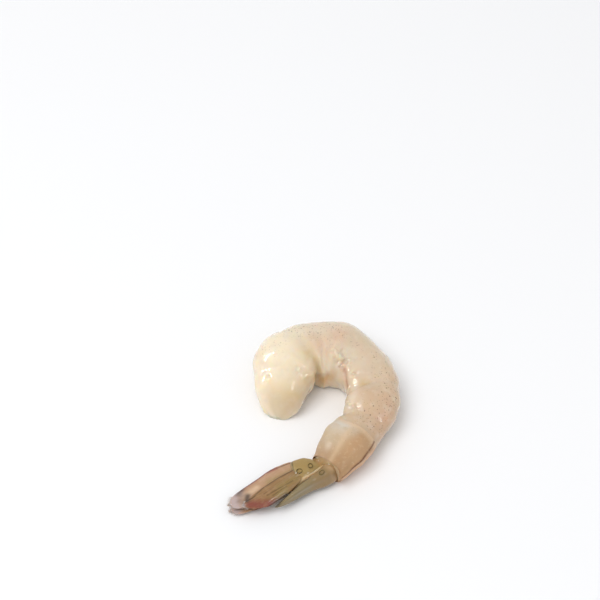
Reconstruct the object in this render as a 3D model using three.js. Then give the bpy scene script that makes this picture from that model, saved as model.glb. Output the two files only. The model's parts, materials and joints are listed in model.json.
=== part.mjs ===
// A raw whiteleg shrimp without its head, peeled down to the last of its six
// segments. The shell of that segment and the closed tail fan are left on. It
// lies on its right side, curled into a C. Millimetres, +Z up, and the origin
// is on the board, under the middle of the shrimp.
//
// Every piece is placed by three numbers: how far ALONG the body it is, how far
// towards the BACK of the animal from the middle line, and how far to its upper
// SIDE. The middle line runs in the plane of the board from the cut front end
// to the tip of the fan.

import * as THREE from 'three';
import { mergeVertices } from 'three/addons/utils/BufferGeometryUtils.js';

const { clamp, degToRad, lerp, radToDeg, smoothstep } = THREE.MathUtils;

// ---- Driving dimensions: the body ------------------------------------------

// The segments from front to tail: their length on the middle line, how many
// degrees the line turns to the right in their front and rear half, and their
// depth from belly to back at the front edge and half way.
const SEGMENTS = [
  { length: 13.2, turns: [1, 14], depths: [13.2, 14.9] },
  { length: 10.5, turns: [24, 42], depths: [19.1, 17.6] },
  { length: 10.8, turns: [25, 12], depths: [17, 18.4] },
  { length: 10.9, turns: [27, 22], depths: [16.2, 15.4] },
  { length: 11.0, turns: [19, 14], depths: [14.9, 14.8] },
  { length: 16.0, turns: [4, 3], depths: [13.1, 14.0] },
];
const REAR_DEPTH = 10.2;
const FRONT_END = { x: -10.1, y: 2.37, heading: 78 };
const WIDTH_OVER_DEPTH = 0.8;
const BACK_SHARE = 0.54; // of the depth, from the widest line up to the back
const BODY_ROLL = 15; // degrees that the back is turned up from the board
const SINK = 0.8; // the soft underside is pressed flat by this much
const FRONT_ROUNDING = { length: 7.5, power: 2.7 }; // of the cut end

// Where the curl is tightest, the belly is squeezed to this share of the
// radius of the bend, so that it folds instead of passing through itself.
const SQUEEZE_LIMIT = 0.97;

// The sections of the body turn more evenly than its middle line: each takes the
// mean direction over this far to both sides of it, up to the fifth segment.
const SECTION_EASE = 9;

const CREASE = { width: 1.3, back: 0.08, flank: 0.3 }; // between two segments
const SEGMENT_SWELL = 0.3; // how far a segment's flank stands out half way
const BELLY_GROOVE = { depth: 0.5, halfAngle: 0.35 };
const SHOULDER = { along: 10, halfLength: 3.3, halfAngle: 0.9, height: 0.8 }; // on the back

// Where the squeezed flesh swells out on the inside of the curl. Angles are in
// degrees from the back.
const BELLY_FILLS = [
  { along: 23.7, halfLength: 5, angle: 180, halfAngle: 57, height: 2.4 },
  { along: 22.6, halfLength: 3.8, angle: 108, halfAngle: 40, height: 2.3 },
  { along: 18.2, halfLength: 2.4, angle: 105, halfAngle: 35, height: 0.7 },
];
const UNEVENNESS = 0.16; // soft lumps of the flesh

// ---- Driving dimensions: the last segment's shell ---------------------------

const SHELL_WALL = 0.5;
const GAP = 0.35; // clear space between the shell and the flesh in it
const SHELL_SETBACK = 3.6; // of the front rim from the last joint, but not at the belly
const SHELL_FRONT_TUCK = 2.2; // the flesh sinks to pass under the front rim
const FLESH_STOPS_SHORT = 1.1; // of the rear rim
const KEEL = { height: 0.45, halfAngle: 0.13 };
const REAR_SPINE = { length: 1.3, halfAngle: 0.3 };

// ---- Driving dimensions: the tail fan ---------------------------------------

const FAN_LENGTH = 28.5;
const FAN_TURN = { degrees: 30, over: 6 };
const FAN_ROLL = 5;
const FAN_TIP_HEIGHT = 1.5; // of the middle line over the board
const FAN_LEVEL_UNTIL = 6;

// Outlines are given as stations along the fan. `middle` is the place of the
// piece's own middle line towards the back, `half` its half depth there.
const TELSON = {
  along: [-0.6, 0.4, 2.2, 5, 9, 12.7, 15.4, 16.8],
  middle: [1.8, 1.75, 1.55, 1.5, 2.75, 4.25, 5.1, 5.4],
  half: [1.9, 2.2, 1.9, 1.45, 1.2, 0.8, 0.4, 0.15],
  halfWidth: [2.4, 2.8, 2.8, 2.4, 1.9, 1.3, 0.7, 0.2],
  groove: 0.3,
};
const PROTOPOD = {
  along: [-0.5, 0.4, 2.2, 4.5, 6.8, 8.0],
  middle: [-2.1, -2.2, -2.7, -2.85, -2.85, -2.75],
  half: [1.2, 1.45, 2.1, 2.85, 3.0, 2.7],
  side: [1.35, 1.45, 1.75, 1.85, 1.7, 1.5],
  halfWidth: [0.9, 1.05, 1.5, 1.6, 1.4, 1.1],
};
const EXOPOD = {
  along: [8.3, 10, 14.6, 19.8, 25.2, 27.6, 28.5],
  middle: [-4.1, -3.95, -3.1, -1.15, -0.05, 0.25, 0.3],
  half: [2.3, 2.9, 3.35, 3.45, 2.6, 1.5, 0.4],
  lowerShift: 0.8, // the lower blade lies nearer the back by this much
  side: [1.3, 0.8], // at its base and its tip
  archToBelly: 0.04, // how fast the blade curves in towards each edge
  archToBack: 0.04,
  thickness: 0.5,
  rib: 0.12,
};
const ENDOPOD = {
  along: [8.3, 9.6, 13.6, 18.0, 21.7, 23.6, 24.4],
  middle: [-0.9, -0.75, 0.55, 1.95, 2.6, 2.7, 2.6],
  half: [1.7, 2.2, 2.9, 2.9, 2.0, 1.1, 0.3],
  lowerShift: -1.4, // and this one nearer the belly
  side: [2.3, 1.5],
  archToBelly: 0.01,
  archToBack: 0.14,
  thickness: 0.5,
  rib: 0.25,
};

// ---- Derived lengths ---------------------------------------------------------

const JOINTS = []; // where one segment meets the next
const knots = { along: [0], heading: [FRONT_END.heading], depthAlong: [], depth: [] };
for (const { length, turns, depths } of SEGMENTS) {
  for (const half of [0, 1]) {
    const start = knots.along.at(-1);
    knots.depthAlong.push(start);
    knots.depth.push(depths[half]);
    knots.along.push(start + length / 2);
    knots.heading.push(knots.heading.at(-1) - turns[half]);
  }
  JOINTS.push(knots.along.at(-1));
}
const BODY_END = JOINTS.pop();
const SHELL_START = JOINTS.at(-1);
knots.depthAlong.push(BODY_END);
knots.depth.push(REAR_DEPTH);
const fanHeading = knots.heading.at(-1) - FAN_TURN.degrees;
knots.along.push(BODY_END + FAN_TURN.over, BODY_END + FAN_LENGTH);
knots.heading.push(fanHeading, fanHeading);

// ---- Curves -----------------------------------------------------------------

// A smooth curve through the values at the knots.
function through(along, values, x) {
  const last = along.length - 1;
  const at = clamp(x, along[0], along[last]);
  let k = 0;
  while (k < last - 1 && at > along[k + 1]) k += 1;
  const slope = (i) => {
    const before = Math.max(i - 1, 0);
    const after = Math.min(i + 1, last);
    return (values[after] - values[before]) / (along[after] - along[before]);
  };
  const step = along[k + 1] - along[k];
  const t = (at - along[k]) / step;
  return values[k] * (1 + 2 * t) * (1 - t) ** 2
    + slope(k) * step * t * (1 - t) ** 2
    + values[k + 1] * t * t * (3 - 2 * t)
    + slope(k + 1) * step * t * t * (t - 1);
}

const bump = (x, centre, width) => Math.exp(-(((x - centre) / width) ** 2));
const signedPower = (x, power) => Math.sign(x) * Math.abs(x) ** power;
const headingAt = (along) => degToRad(through(knots.along, knots.heading, along));

// The middle line, walked in short steps from the front end.
const STEP = 0.1;
const line = [{ x: FRONT_END.x, y: FRONT_END.y }];
for (let along = STEP / 2; along < BODY_END + FAN_LENGTH + 1; along += STEP) {
  const { x, y } = line.at(-1);
  const heading = headingAt(along);
  line.push({ x: x + STEP * Math.cos(heading), y: y + STEP * Math.sin(heading) });
}

function sectionHeadingAt(along) {
  const reach = SECTION_EASE * (1 - smoothstep(along, JOINTS[3], SHELL_START));
  const shares = [-1, -0.75, -0.5, -0.25, 0, 0.25, 0.5, 0.75, 1];
  const sum = shares.reduce((total, share) => total + headingAt(along + reach * share), 0);
  return sum / shares.length;
}

function depthAt(along) {
  const { length, power } = FRONT_ROUNDING;
  const frontEnd = (1 - (1 - clamp(along / length, 0, 1)) ** power) ** (1 / power);
  return through(knots.depthAlong, knots.depth, along) * frontEnd;
}

function heightAt(along) {
  if (along < BODY_END) return Math.max(depthAt(along) * WIDTH_OVER_DEPTH / 2 - SINK, 0.5);
  const rear = REAR_DEPTH * WIDTH_OVER_DEPTH / 2 - SINK;
  return lerp(rear, FAN_TIP_HEIGHT, smoothstep(along - BODY_END, FAN_LEVEL_UNTIL, FAN_LENGTH));
}

// A point of the shrimp, from its place along, towards the back and to the side.
function placed(along, back, side) {
  const step = clamp(along / STEP, 0, line.length - 1.001);
  const from = line[Math.floor(step)];
  const to = line[Math.floor(step) + 1];
  const part = step - Math.floor(step);
  const heading = sectionHeadingAt(along);
  const roll = degToRad(lerp(BODY_ROLL, FAN_ROLL, smoothstep(along, BODY_END, BODY_END + FAN_TURN.over)));
  const outward = back * Math.cos(roll) - side * Math.sin(roll);
  return new THREE.Vector3(
    lerp(from.x, to.x, part) - outward * Math.sin(heading),
    lerp(from.y, to.y, part) + outward * Math.cos(heading),
    heightAt(along) + back * Math.sin(roll) + side * Math.cos(roll),
  );
}

// ---- Closed shapes ------------------------------------------------------------

// Moves each vertex of a closed three.js geometry, whose vertices lie in rows,
// to the place that the function gives for its row and its turn round the row.
function warped(geometry, columns, place) {
  const position = geometry.attributes.position;
  for (let i = 0; i < position.count; i += 1) {
    const row = Math.floor(i / (columns + 1));
    const angle = (2 * Math.PI * (i % (columns + 1))) / columns;
    const point = place(row, angle);
    position.setXYZ(i, point.x, point.y, point.z);
  }
  geometry.deleteAttribute('normal');
  geometry.deleteAttribute('uv');
  const closed = mergeVertices(geometry, 1e-4);
  if (volumeOf(closed) < 0) turnInsideOut(closed);
  closed.computeVertexNormals();
  return closed;
}

function volumeOf(geometry) {
  const [a, b, c] = [new THREE.Vector3(), new THREE.Vector3(), new THREE.Vector3()];
  const { position } = geometry.attributes;
  let volume = 0;
  for (let i = 0; i < geometry.index.count; i += 3) {
    a.fromBufferAttribute(position, geometry.index.getX(i));
    b.fromBufferAttribute(position, geometry.index.getX(i + 1));
    c.fromBufferAttribute(position, geometry.index.getX(i + 2));
    volume += a.dot(b.cross(c)) / 6;
  }
  return volume;
}

function turnInsideOut(geometry) {
  const { array } = geometry.index;
  for (let i = 0; i < array.length; i += 3) [array[i], array[i + 1]] = [array[i + 1], array[i]];
}

// A body with a row of points at each station, closed to a point at both ends.
function lofted(stations, columns, place) {
  const rows = stations.length - 1;
  const isEnd = (row) => row === 0 || row === rows;
  const geometry = new THREE.SphereGeometry(1, columns, rows);
  return warped(geometry, columns, (row, angle) => place(stations[row], angle, isEnd(row) ? 0 : 1));
}

// Evenly spaced stations, with one more just inside each end so that it is blunt.
function bluntStations(from, to, count, inset) {
  const inner = [];
  for (let i = 0; i <= count; i += 1) inner.push(lerp(from + inset, to - inset, i / count));
  return [from, ...inner, to];
}

// ---- Flesh --------------------------------------------------------------------

// How far the surface stands out (or in) at a place. The angle is from the back.
function relief(along, angle) {
  const fromBack = Math.acos(Math.cos(angle));
  const flank = smoothstep(fromBack, 0.9, 2.1) - 0.6 * smoothstep(fromBack, 2.3, 2.9);
  const belly = bump(fromBack, Math.PI, BELLY_GROOVE.halfAngle);
  let height = -BELLY_GROOVE.depth * belly * smoothstep(along, 3, 10);
  for (const joint of JOINTS) {
    height -= (CREASE.back + CREASE.flank * flank) * bump(along, joint, CREASE.width);
  }
  const ends = [0, ...JOINTS, BODY_END];
  const segment = clamp(ends.findIndex((end) => end > along) - 1, 0, JOINTS.length);
  const share = clamp((along - ends[segment]) / (ends[segment + 1] - ends[segment]), 0, 1);
  const onShoulder = bump(along, SHOULDER.along, SHOULDER.halfLength);
  height += SHOULDER.height * onShoulder * bump(fromBack, 0, SHOULDER.halfAngle);
  height += SEGMENT_SWELL * bump(fromBack, 2.0, 0.6) * Math.sin(Math.PI * share) ** 2;
  height += UNEVENNESS * Math.sin(0.8 * along + 2 * angle) * Math.cos(0.53 * along - 3 * angle + 1);
  return height;
}

function bellyFill(along, angle) {
  const degrees = radToDeg(Math.acos(Math.cos(angle)));
  const swells = BELLY_FILLS.map((fill) => fill.height
    * bump(along, fill.along, fill.halfLength) * bump(degrees, fill.angle, fill.halfAngle));
  return swells.reduce((total, swell) => total + swell, 0);
}

// A point on the outside of the body, or `inset` millimetres under it.
function bodyPoint(along, angle, inset = 0, raise = 0) {
  const depth = depthAt(along);
  const turn = Math.max(sectionHeadingAt(along - 0.5) - sectionHeadingAt(along + 0.5), 0); // per mm
  const bellyDepth = (1 - BACK_SHARE) * depth;
  const squeeze = (1 + (bellyDepth * turn / SQUEEZE_LIMIT) ** 4) ** -0.25;
  const onBack = Math.cos(angle) >= 0;
  const back = onBack
    ? BACK_SHARE * depth * Math.cos(angle)
    : bellyDepth * squeeze * signedPower(Math.cos(angle), 0.8);
  const side = 0.5 * WIDTH_OVER_DEPTH * depth * signedPower(Math.sin(angle), onBack ? 1 : 0.85);
  const radius = Math.hypot(back, side);
  const fullSize = smoothstep(depth, 2, 9);
  const crowding = clamp(1 + turn * back, 0, 1); // relief fades where the surface is pushed together
  const swell = bellyFill(along, angle) * squeeze ** 3;
  const height = (relief(along, angle) * fullSize + raise) * crowding + swell;
  const out = (height - inset) / Math.max(radius, 1);
  const point = placed(along, back * (1 + out), side * (1 + out));
  point.z = Math.max(point.z, inset);
  return point;
}

// Where the front rim of the shell lies, which is rounded out at the belly.
function frontRimAt(angle) {
  const fromBelly = Math.acos(-Math.cos(angle));
  return SHELL_START + SHELL_SETBACK * smoothstep(fromBelly, 0.3, 1.5);
}

function meat() {
  const fleshEnd = BODY_END - FLESH_STOPS_SHORT;
  const stations = [0, 0.12, 0.45, 1, 1.8, 2.7];
  const rings = 68;
  for (let i = 1; i <= rings; i += 1) stations.push(lerp(2.7, fleshEnd - 0.3, i / rings));
  stations.push(fleshEnd, fleshEnd);
  return lofted(stations, 32, (along, angle, size) => {
    const rim = frontRimAt(angle);
    const tuck = smoothstep(along, rim - SHELL_FRONT_TUCK, rim - 0.2);
    const rearRounding = along > fleshEnd - 0.1 ? 0.8 : 0;
    const atSurface = bodyPoint(along, angle, (SHELL_WALL + GAP) * tuck + rearRounding);
    const centre = placed(along, 0, 0);
    return centre.lerp(atSurface, size);
  });
}

// ---- Shell of the last segment --------------------------------------------------

// A sleeve: its rows run rearwards on the outside and forwards on the inside.
function shell() {
  const rows = 16;
  const columns = 32;
  const profile = [];
  for (let i = 0; i <= rows; i += 1) profile.push({ share: i / rows, inside: false });
  for (let i = rows; i >= 0; i -= 1) profile.push({ share: i / rows, inside: true });
  const geometry = new THREE.TorusGeometry(2, 1, profile.length, columns);
  return warped(geometry, columns, (row, angle) => {
    const { share, inside } = profile[row % profile.length];
    const fromBack = Math.acos(Math.cos(angle));
    const spine = REAR_SPINE.length * bump(fromBack, 0, REAR_SPINE.halfAngle);
    const along = lerp(frontRimAt(angle), BODY_END + spine, share);
    const keel = KEEL.height * bump(fromBack, 0, KEEL.halfAngle) * smoothstep(share, 0.1, 0.6);
    return bodyPoint(along, angle, inside ? SHELL_WALL : 0, inside ? 0 : keel);
  });
}

// ---- Tail fan --------------------------------------------------------------------

// The middle spike of the fan, with a groove along its back.
function telson() {
  const { along: knotsAlong, middle, half, halfWidth, groove } = TELSON;
  const stations = bluntStations(knotsAlong[0], knotsAlong.at(-1), 15, 0.15);
  return lofted(stations, 16, (along, angle, size) => {
    const value = (list) => through(knotsAlong, list, along);
    const dent = groove * bump(Math.acos(Math.cos(angle)), 0, 0.45) * smoothstep(value(half), 0.3, 1.2);
    const back = value(middle) + size * (value(half) * signedPower(Math.cos(angle), 0.85) - dent);
    const side = size * value(halfWidth) * signedPower(Math.sin(angle), 0.9);
    return placed(BODY_END + along, back, side);
  });
}

// The stout base that carries the two blades of one side.
function protopod(upOrDown) {
  const { along: knotsAlong, middle, half, side: sides, halfWidth } = PROTOPOD;
  const stations = bluntStations(knotsAlong[0], knotsAlong.at(-1), 9, 0.12);
  return lofted(stations, 16, (along, angle, size) => {
    const value = (list) => through(knotsAlong, list, along);
    const back = value(middle) + size * value(half) * Math.cos(angle);
    const side = value(sides) + size * value(halfWidth) * Math.sin(angle);
    const point = placed(BODY_END + along, back, upOrDown * side);
    const clearOfShell = (SHELL_WALL + GAP) * (1 - smoothstep(along, 0.6, 2.4));
    point.z = Math.max(point.z, clearOfShell);
    return point;
  });
}

// A thin arched blade with a rib along its outer face.
function blade(outline, upOrDown) {
  const { along: knotsAlong, middle, half, side: sides, thickness, rib } = outline;
  const stations = bluntStations(knotsAlong[0], knotsAlong.at(-1), 16, 0.1);
  return lofted(stations, 16, (along, angle, size) => {
    const value = (list) => through(knotsAlong, list, along);
    const share = (along - knotsAlong[0]) / (knotsAlong.at(-1) - knotsAlong[0]);
    const across = size * Math.cos(angle);
    const offset = value(half) * across;
    const outerFace = Math.sin(angle) > 0.01;
    const ribHeight = outerFace ? rib * bump(across, 0, 0.2) * (1 - share) : 0;
    const thick = size * (0.5 * thickness * signedPower(Math.sin(angle), 0.7) + ribHeight);
    const arch = offset > 0 ? outline.archToBack : outline.archToBelly;
    const side = lerp(sides[0], sides[1], share) - arch * offset ** 2 + thick;
    const shift = upOrDown > 0 ? 0 : outline.lowerShift * smoothstep(share, 0, 0.5);
    return placed(BODY_END + along, value(middle) + offset + shift, upOrDown * side);
  });
}

// ---- The shrimp --------------------------------------------------------------------

const materials = {
  flesh: { color: '#dccfb4', roughness: 0.32, metalness: 0 },
  shell: { color: '#c3a279', roughness: 0.3, metalness: 0 },
  telson: { color: '#9a8d6c', roughness: 0.35, metalness: 0 },
  base: { color: '#a8975c', roughness: 0.35, metalness: 0 },
  outerBlade: { color: '#c09a80', roughness: 0.35, metalness: 0 },
  innerBlade: { color: '#a78a5f', roughness: 0.35, metalness: 0 },
};

const shrimp = new THREE.Group();

function add(name, geometry, material) {
  const mesh = new THREE.Mesh(geometry, new THREE.MeshStandardMaterial(materials[material]));
  mesh.name = name;
  shrimp.add(mesh);
}

add('meat', meat(), 'flesh');
add('last_segment_shell', shell(), 'shell');
add('telson', telson(), 'telson');
for (const [place, upOrDown] of [['upper', 1], ['lower', -1]]) {
  add(`protopod_${place}`, protopod(upOrDown), 'base');
  add(`exopod_${place}`, blade(EXOPOD, upOrDown), 'outerBlade');
  add(`endopod_${place}`, blade(ENDOPOD, upOrDown), 'innerBlade');
}

export default shrimp;
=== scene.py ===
# %% [markdown]
# # A raw peeled shrimp, tail on
#
# A raw whiteleg shrimp without its head lies on its right side, curled into a
# C. It is peeled down to the last segment, which keeps its thin shell and the
# closed tail fan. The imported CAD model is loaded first: it fixes where
# everything is and how big it may be. Each of its plain solids is then replaced
# by a finer piece of the same form.

# %% Load the frame
import json
import math

import bpy
import numpy as np
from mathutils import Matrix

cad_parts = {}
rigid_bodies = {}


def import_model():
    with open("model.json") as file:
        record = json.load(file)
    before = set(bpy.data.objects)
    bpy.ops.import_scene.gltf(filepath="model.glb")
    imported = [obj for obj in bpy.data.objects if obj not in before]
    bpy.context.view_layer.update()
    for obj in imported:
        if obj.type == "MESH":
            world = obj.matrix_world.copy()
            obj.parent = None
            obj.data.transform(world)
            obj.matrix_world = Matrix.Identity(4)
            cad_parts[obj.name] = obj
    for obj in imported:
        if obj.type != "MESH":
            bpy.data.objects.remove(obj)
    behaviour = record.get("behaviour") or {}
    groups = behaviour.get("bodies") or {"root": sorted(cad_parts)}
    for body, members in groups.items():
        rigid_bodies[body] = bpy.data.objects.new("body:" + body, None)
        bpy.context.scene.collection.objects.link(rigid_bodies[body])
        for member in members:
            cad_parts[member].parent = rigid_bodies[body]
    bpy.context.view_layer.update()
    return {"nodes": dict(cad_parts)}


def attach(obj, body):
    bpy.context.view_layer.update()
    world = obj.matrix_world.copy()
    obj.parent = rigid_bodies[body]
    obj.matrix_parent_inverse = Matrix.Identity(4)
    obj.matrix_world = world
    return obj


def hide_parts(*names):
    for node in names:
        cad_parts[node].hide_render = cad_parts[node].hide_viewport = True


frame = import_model()
print("nodes:", ", ".join(sorted(frame["nodes"])))

# %% [markdown]
# ## Camera
#
# The shrimp was photographed from above at an angle, from far enough away that
# its shape is hardly drawn in by perspective. A long lens half a metre away
# does the same. A constraint could hold the camera on its target, but its place
# also follows from three numbers that a photographer would note: the point it
# aims at, its distance and how steeply it looks down.

# %% Camera
MM = 0.001
AIM = (-4.04, 46.21, 0.0)  # millimetres: the point of the board in mid picture
DISTANCE = 484.0  # millimetres
ELEVATION = math.radians(48)
LENS, SENSOR = 100, 36  # millimetres


def shown(name, data):
    """Puts a mesh, a lamp or a camera in the scene, as an object of this name."""
    thing = bpy.data.objects.new(name, data)
    bpy.context.scene.collection.objects.link(thing)
    return thing


camera = shown("camera", bpy.data.cameras.new("camera"))
camera.data.lens = LENS
camera.data.sensor_width = SENSOR
camera.data.clip_start = 0.01
camera.location = (
    AIM[0] * MM,
    (AIM[1] - DISTANCE * math.cos(ELEVATION)) * MM,
    (AIM[2] + DISTANCE * math.sin(ELEVATION)) * MM,
)
camera.rotation_euler = (math.pi / 2 - ELEVATION, 0, 0)
bpy.context.scene.camera = camera
bpy.context.scene.view_settings.view_transform = "Standard"
print("camera at", [round(v, 3) for v in camera.location])

# %% [markdown]
# ## Colours and nodes
#
# Colours are given as sRGB hex values, as on a screen or a paint chart. Light
# adds up in linear values, so one function turns them. Materials and Geometry
# Nodes are both trees of nodes, and one more function adds a node to either
# kind, with its settings and its links.

# %% One function for colours and one for nodes
def srgb(hex_colour, alpha=1.0):
    """The linear colour of an sRGB hex value such as "e8dcc4"."""
    channels = [int(hex_colour[i : i + 2], 16) / 255 for i in (0, 2, 4)]
    linear = [c / 12.92 if c <= 0.04045 else ((c + 0.055) / 1.055) ** 2.4 for c in channels]
    return (*linear, alpha)


def add_node(tree, kind, inputs=None, **settings):
    """Adds a node. Inputs go by name or number, and take a value or another node's output."""
    node = tree.nodes.new(kind)
    for name, value in settings.items():
        setattr(node, name, value)
    for key, value in (inputs or {}).items():
        if isinstance(value, bpy.types.NodeSocket):
            tree.links.new(value, node.inputs[key])
        else:
            node.inputs[key].default_value = value
    return node


print("mid grey in linear light:", round(srgb("808080")[0], 3))

# %% [markdown]
# ## Board and light
#
# The board is plain and almost white, and an even white room keeps the shadow
# pale. A wet thing is shown by what it mirrors. In a real room one window both
# lights the flesh and is mirrored in it, but here the two are split: a wide
# daylight only lights, and a window and a door are only mirrored. So the bright
# streaks can be put where the shrimp has them, and the light on it stays soft.

# %% Board and room
BOARD_REACH = 4.0  # metres from the middle, past the edge of every view
board_material = bpy.data.materials.new("white_board")
board_material.use_nodes = True
board_shader = board_material.node_tree.nodes["Principled BSDF"]
for key, value in {"Base Color": srgb("f6f6f7"), "Roughness": 0.6, "Specular IOR Level": 0.1}.items():
    board_shader.inputs[key].default_value = value

board_mesh = bpy.data.meshes.new("board")
corners = [(-BOARD_REACH, -BOARD_REACH, 0), (BOARD_REACH, -BOARD_REACH, 0),
           (BOARD_REACH, BOARD_REACH, 0), (-BOARD_REACH, BOARD_REACH, 0)]
board_mesh.from_pydata(corners, [], [(0, 1, 2, 3)])
board_mesh.materials.append(board_material)
board = shown("board", board_mesh)

world = bpy.data.worlds.new("white_room")
world.use_nodes = True
world.node_tree.nodes["Background"].inputs["Color"].default_value = srgb("fdfeff")
world.node_tree.nodes["Background"].inputs["Strength"].default_value = 0.68
bpy.context.scene.world = world
print("board:", 2 * BOARD_REACH, "m wide")


# %% Windows
def soft_window(name, azimuth, elevation, distance, size, power, mirrored):
    """An area light that faces the shrimp, and either lights it or is mirrored in its wet skin.

    Azimuth 0 is +Y and 90 is +X, in degrees. Distance and size are in metres, power in watts.
    """
    light = bpy.data.lights.new(name, "AREA")
    light.shape = "RECTANGLE"
    light.size, light.size_y = size
    light.energy = power
    lamp = shown(name, light)
    turn, rise = math.radians(azimuth), math.radians(elevation)
    lamp.location = (
        distance * math.sin(turn) * math.cos(rise),
        distance * math.cos(turn) * math.cos(rise),
        distance * math.sin(rise),
    )
    lamp.rotation_euler = (math.pi / 2 - rise, 0, math.pi - turn)
    lamp.visible_glossy = mirrored
    lamp.visible_diffuse = not mirrored


soft_window("window", azimuth=-83, elevation=37, distance=1.0, size=(0.2, 0.36), power=5.0, mirrored=True)
soft_window("door", azimuth=140, elevation=50, distance=1.0, size=(0.12, 0.22), power=0.9, mirrored=True)
soft_window("daylight", azimuth=-124, elevation=66, distance=1.0, size=(0.7, 0.7), power=5.2, mirrored=False)

# %% [markdown]
# ## The bent middle line
#
# Everything on a shrimp is easiest to place by three numbers: how far ALONG the
# body it is, how far towards the BACK of the animal, and how far to its upper
# SIDE. The middle line is walked from the cut front end to the tip of the fan,
# turning a given number of degrees in each half of each segment. A Bezier curve
# could be drawn by hand instead, but a turn at each joint is how the animal
# bends. The values are those of the part's own source, so the fine pieces fit
# its solids.

# %% Measures of the body, in millimetres and degrees
SEGMENT_LENGTHS = [13.2, 10.5, 10.8, 10.9, 11.0, 16.0]
HALF_TURNS = [1, 14, 24, 42, 25, 12, 27, 22, 19, 14, 4, 3]
HALF_DEPTHS = [13.2, 14.9, 19.1, 17.6, 17, 18.4, 16.2, 15.4, 14.9, 14.8, 13.1, 14.0]
REAR_DEPTH = 10.2
FRONT_END = {"x": -10.1, "y": 2.37, "heading": 78}
WIDTH_OVER_DEPTH = 0.8
BACK_SHARE = 0.54  # of the depth lies on the back's side of the middle line
BODY_ROLL, FAN_ROLL = 15, 5
SINK = 0.8  # how far the soft underside is flattened by the weight
FRONT_ROUNDING = {"length": 7.5, "power": 2.7}
SQUEEZE_LIMIT = 0.97
SECTION_EASE = 9
FAN_LENGTH = 28.5
FAN_TURN = {"degrees": 30, "over": 6}
FAN_TIP_HEIGHT = 1.5
FAN_LEVEL_UNTIL = 6

segment_ends = np.concatenate([[0], np.cumsum(SEGMENT_LENGTHS)])
JOINTS = segment_ends[1:-1]
BODY_END = segment_ends[-1]
SHELL_START = JOINTS[-1]
half_ends = np.repeat(segment_ends[:-1], 2) + np.outer(SEGMENT_LENGTHS, [0, 0.5]).ravel()
depth_stations = np.append(half_ends, BODY_END)
depth_values = np.append(HALF_DEPTHS, REAR_DEPTH)
headings = FRONT_END["heading"] - np.concatenate([[0], np.cumsum(HALF_TURNS)])
fan_heading = headings[-1] - FAN_TURN["degrees"]
heading_stations = np.append(depth_stations, [BODY_END + FAN_TURN["over"], BODY_END + FAN_LENGTH])
heading_values = np.append(headings, [fan_heading, fan_heading])
print("body length", BODY_END, "mm, joints at", JOINTS.round(1))

# %% [markdown]
# A few small curves do all the shaping: one through given values, a soft step,
# and a bump. They take whole arrays, so a mesh of 80,000 points is laid out in
# a moment.

# %% Curves
def through(stations, values, x):
    """A smooth curve through the values at the stations."""
    stations, values = np.asarray(stations, float), np.asarray(values, float)
    last = len(stations) - 1
    x = np.clip(x, stations[0], stations[-1])
    k = np.clip(np.searchsorted(stations, x, side="left") - 1, 0, last - 1)
    before, after = np.maximum(np.arange(last + 1) - 1, 0), np.minimum(np.arange(last + 1) + 1, last)
    slope = (values[after] - values[before]) / (stations[after] - stations[before])
    step = stations[k + 1] - stations[k]
    t = (x - stations[k]) / step
    return (values[k] * (1 + 2 * t) * (1 - t) ** 2 + slope[k] * step * t * (1 - t) ** 2
            + values[k + 1] * t * t * (3 - 2 * t) + slope[k + 1] * step * t * t * (t - 1))


def smooth(x, low, high):
    """0 below low, 1 above high, and a soft step between them."""
    t = np.clip((x - low) / (high - low), 0, 1)
    return t * t * (3 - 2 * t)


def bump(x, centre, width):
    """1 at the centre and softly down to 0 at twice the width from it."""
    return np.exp(-(((x - centre) / width) ** 2))


def signed_power(x, power):
    """The power of x without its sign, and then the sign. Under 1 it makes a section boxier."""
    return np.sign(x) * np.abs(x) ** power


def mixed(a, b, share):
    """The value that lies this share of the way from a to b."""
    return a + (b - a) * share


print("halfway up a soft step:", float(smooth(0.5, 0, 1)))

# %% Places on and in the body
STEP = 0.1  # millimetres for each step of the walk along the middle line
fine = np.arange(-SECTION_EASE - 1, BODY_END + FAN_LENGTH + 1, STEP)
fine_heading = np.radians(through(heading_stations, heading_values, fine))


def heading_at(along):
    """Which way the middle line goes, in radians from +X."""
    return np.interp(along, fine, fine_heading)


def section_heading_at(along):
    """Which way a cross-section faces: the heading, evened out over the stretch round it."""
    reach = SECTION_EASE * (1 - smooth(along, JOINTS[3], SHELL_START))
    return sum(heading_at(along + reach * share) for share in np.linspace(-1, 1, 9)) / 9


walk = np.arange(STEP / 2, BODY_END + FAN_LENGTH + 1, STEP)
line_x = FRONT_END["x"] + np.concatenate([[0], np.cumsum(STEP * np.cos(heading_at(walk)))])
line_y = FRONT_END["y"] + np.concatenate([[0], np.cumsum(STEP * np.sin(heading_at(walk)))])
line_at = np.arange(len(line_x)) * STEP


def depth_at(along):
    """How deep the body is from back to belly, rounded off at the cut front end."""
    share = np.clip(along / FRONT_ROUNDING["length"], 0, 1)
    power = FRONT_ROUNDING["power"]
    return through(depth_stations, depth_values, along) * (1 - (1 - share) ** power) ** (1 / power)


def height_at(along):
    """How high over the board the middle line lies."""
    in_body = np.maximum(depth_at(np.minimum(along, BODY_END)) * WIDTH_OVER_DEPTH / 2 - SINK, 0.5)
    rear = REAR_DEPTH * WIDTH_OVER_DEPTH / 2 - SINK
    in_fan = mixed(rear, FAN_TIP_HEIGHT, smooth(along - BODY_END, FAN_LEVEL_UNTIL, FAN_LENGTH))
    return np.where(along < BODY_END, in_body, in_fan)


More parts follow.
